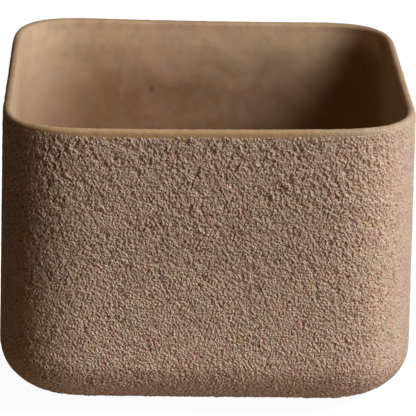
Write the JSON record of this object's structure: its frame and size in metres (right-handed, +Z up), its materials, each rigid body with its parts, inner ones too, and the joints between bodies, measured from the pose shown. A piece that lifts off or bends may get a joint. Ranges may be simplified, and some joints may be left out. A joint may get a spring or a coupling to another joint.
{
  "type": "cube plant pot",
  "caption": "Square clay cover pot with soft corners and a rounded base, rough sand-grit outside, smooth sealed inside, a bare rounded lip and felt pads under the foot.",
  "frame": {"origin": "on the floor, under the middle of the pot, at the height of the pads' undersides", "axes": "+Z up through the open top, +X to the right and -Y towards the viewer of the front face"},
  "size_m": [0.14, 0.14, 0.1031],
  "materials": {
    "clay": "bare fired clay, smooth and matt",
    "grit": "sprayed sand grit, rough and matt",
    "sealer": "brushed clear sealing coat, satin to matt",
    "felt": "pressed wool felt"
  },
  "bodies": {
    "root": {"pot_body": "clay", "grit_coat": "grit", "inner_lining": "sealer", "foot_pad_front_left": "felt", "foot_pad_front_right": "felt", "foot_pad_back_left": "felt", "foot_pad_back_right": "felt"}
  },
  "joints": []
}
